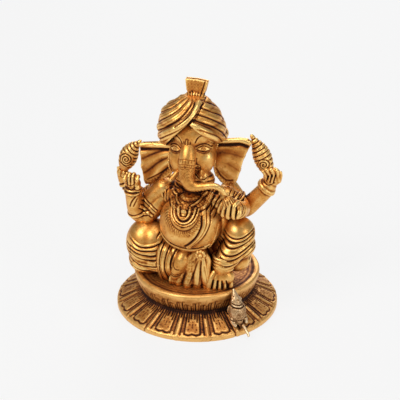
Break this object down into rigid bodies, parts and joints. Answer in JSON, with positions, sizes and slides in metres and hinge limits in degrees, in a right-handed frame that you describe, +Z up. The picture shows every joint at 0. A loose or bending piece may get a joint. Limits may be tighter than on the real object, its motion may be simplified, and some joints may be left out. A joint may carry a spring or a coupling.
{
  "type": "deity figurine",
  "caption": "Seated elephant-headed deity statue in a turban on a round petalled base, cast in antiqued brass, with a small mouse that turns on a stud.",
  "frame": {"origin": "centre of the round base, on its underside", "axes": "+Z up through the figure, the figure faces -Y, +X towards the figure's own left hand"},
  "size_m": [0.1361, 0.1324, 0.2002],
  "materials": {
    "antique_brass": "cast brass, dark antiqued recesses and rubbed bright high points",
    "base_brass": "cast brass, brown antiquing in the engraved petals, satin",
    "pale_brass": "raw matt brass casting, paler than the figure",
    "plain_brass": "turned brass fastener",
    "screw_steel": "plain steel screw and washer"
  },
  "bodies": {
    "statue": {"hips_casting": "antique_brass", "right_leg": "antique_brass", "left_leg": "antique_brass", "torso": "antique_brass", "head": "antique_brass", "trunk": "antique_brass", "right_tusk": "antique_brass", "left_tusk": "antique_brass", "right_ear": "antique_brass", "left_ear": "antique_brass", "turban": "antique_brass", "turban_crest": "antique_brass", "right_front_arm": "antique_brass", "left_front_arm": "antique_brass", "right_rear_arm": "antique_brass", "left_rear_arm": "antique_brass", "right_hand_conch": "antique_brass", "left_hand_conch": "antique_brass", "sweet_ball": "antique_brass", "base_plinth": "base_brass", "figure_screws": "screw_steel", "figure_washers": "screw_steel"},
    "mouse": {"mouse": "pale_brass", "mouse_stud": "plain_brass", "mouse_washer": "plain_brass", "mouse_nut": "plain_brass"}
  },
  "joints": [
    {"name": "mouse_turn", "type": "hinge", "parent": "statue", "child": "mouse", "pos_m": [0.04325, -0.03894, 0.0112], "axis": [0, 0, 1], "range_deg": [-25, 25]}
  ]
}
